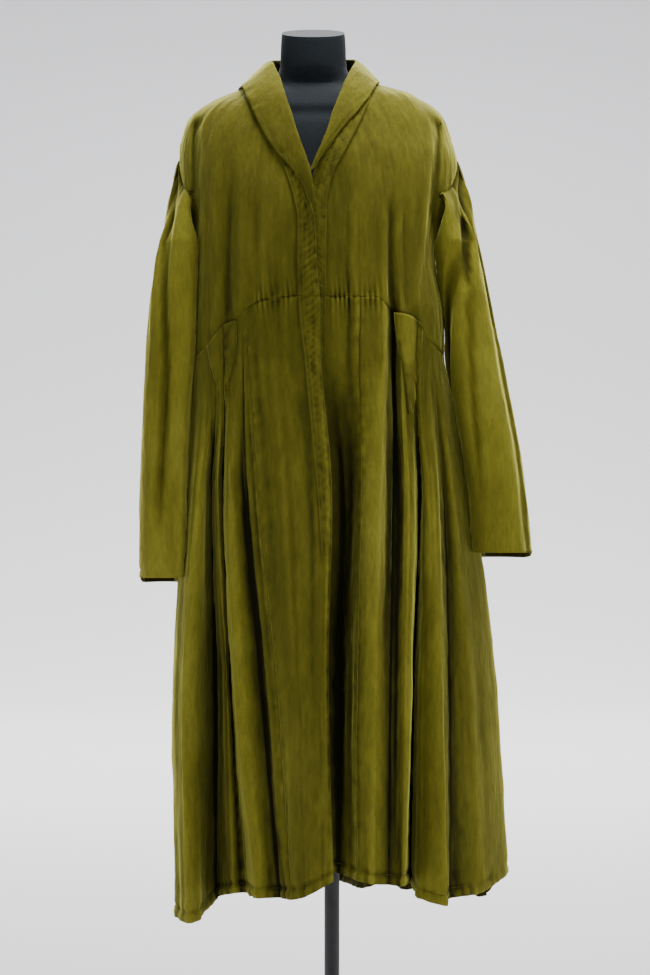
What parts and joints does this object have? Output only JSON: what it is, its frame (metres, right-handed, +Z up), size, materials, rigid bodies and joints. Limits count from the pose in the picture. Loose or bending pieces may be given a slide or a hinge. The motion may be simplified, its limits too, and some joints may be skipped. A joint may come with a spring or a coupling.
{
  "type": "long velvet coat on a limbless dress form",
  "caption": "Long olive velvet coat with shawl collar, high gathered waist seam, pleated skirt and long sleeves, worn on a limbless dress form with a pole and round base.",
  "frame": {"origin": "on the floor, in the middle of the round base's underside", "axes": "+Z up, -Y the coat's front, +X the wearer's left"},
  "size_m": [0.5675, 0.4415, 1.5529],
  "materials": {
    "velvet": "pile",
    "form_cover": "matte",
    "stand_metal": "painted"
  },
  "bodies": {
    "root": {"bodice_front_right": "velvet", "bodice_front_left": "velvet", "bodice_back": "velvet", "skirt_front_right": "velvet", "skirt_princess_right": "velvet", "skirt_side_right": "velvet", "skirt_back": "velvet", "skirt_side_left": "velvet", "skirt_princess_left": "velvet", "skirt_front_left": "velvet", "inset_right": "velvet", "inset_left": "velvet", "band_right": "velvet", "band_left": "velvet", "sleeve_right": "velvet", "sleeve_left": "velvet", "collar": "velvet", "form_torso": "form_cover", "form_pole": "stand_metal", "form_base": "stand_metal"}
  },
  "joints": []
}
